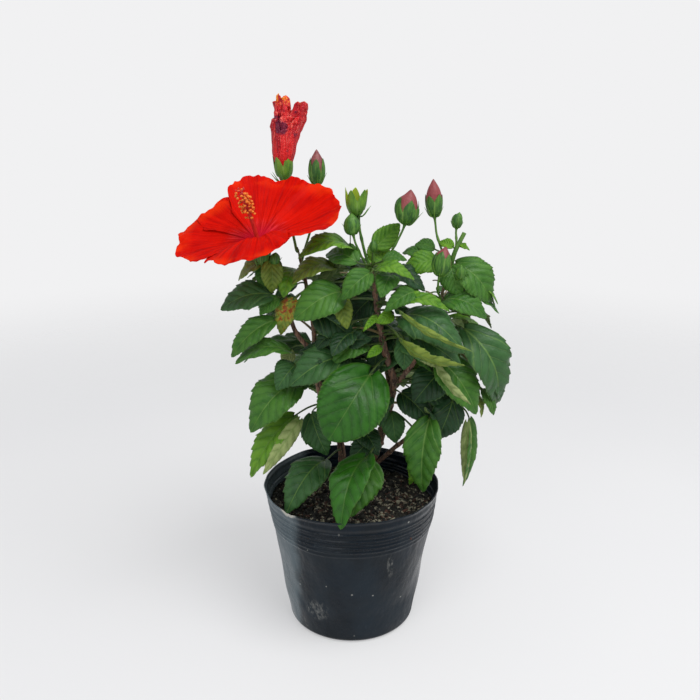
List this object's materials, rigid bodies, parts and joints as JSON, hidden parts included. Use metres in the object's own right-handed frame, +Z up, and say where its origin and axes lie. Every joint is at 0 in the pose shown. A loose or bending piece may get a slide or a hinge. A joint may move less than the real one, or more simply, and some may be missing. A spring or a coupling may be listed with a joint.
{
  "type": "potted hibiscus shrub",
  "caption": "Young hibiscus shrub with glossy toothed leaves, an open red bloom, a wilted bloom and buds, rooted in soil in a round soft-plastic nursery pot.",
  "frame": {"origin": "centre of the pot's flat underside", "axes": "+Z up the plant, -Y towards the front, +X to the right as seen from the front"},
  "size_m": [0.2729, 0.188, 0.4466],
  "materials": {
    "pot_plastic": "thin black film plastic with a dull blue-grey sheen, dusty",
    "soil": "dark damp potting mix of bark, peat and fibre",
    "bark": "rough grey-brown bark",
    "green_stalk": "soft green stalks and bud scales",
    "leaf": "glossy toothed green leaves",
    "petal": "satin orange-red petals",
    "stamen": "red column with orange-yellow stamens",
    "wilted_petal": "rolled, crumpled red petals"
  },
  "bodies": {
    "root": {"back_bough": "bark", "back_left_bough": "bark", "back_right_bough": "bark", "bloom": "petal", "bloom_column": "stamen", "bloom_stalk": "green_stalk", "bud_green": "green_stalk", "bud_leaning": "green_stalk", "bud_pointed": "green_stalk", "bud_right": "green_stalk", "bud_shoot": "green_stalk", "bud_tall": "green_stalk", "inner_bough": "bark", "left_bough": "bark", "left_stem": "bark", "low_bough": "bark", "pot": "pot_plastic", "right_bough": "bark", "soil": "soil", "spent_calyx": "green_stalk", "spray_back_left": "leaf", "spray_back_low_left": "leaf", "spray_back_low_right": "leaf", "spray_back_middle": "leaf", "spray_back_right": "leaf", "spray_back_top": "leaf", "spray_centre": "leaf", "spray_centre_left": "leaf", "spray_front": "leaf", "spray_heart": "leaf", "spray_inner_low": "leaf", "spray_left_back": "leaf", "spray_left_low": "leaf", "spray_left_lower": "leaf", "spray_left_middle": "leaf", "spray_left_top": "leaf", "spray_left_upper": "leaf", "spray_low_centre": "leaf", "spray_low_right": "leaf", "spray_over_soil_front": "leaf", "spray_over_soil_left": "leaf", "spray_right_back": "leaf", "spray_right_crown": "leaf", "spray_right_front": "leaf", "spray_right_hanging": "leaf", "spray_right_inner": "leaf", "spray_right_middle": "leaf", "spray_right_outer": "leaf", "spray_right_shoulder": "leaf", "spray_right_top": "leaf", "spray_right_upper": "leaf", "spray_shoot": "leaf", "spray_top": "leaf", "spray_top_front": "leaf", "spray_top_left": "leaf", "spray_under_bloom": "leaf", "spray_upper_left": "leaf", "trunk": "bark", "wilted_bloom": "wilted_petal", "wilted_calyx": "green_stalk"}
  },
  "joints": []
}
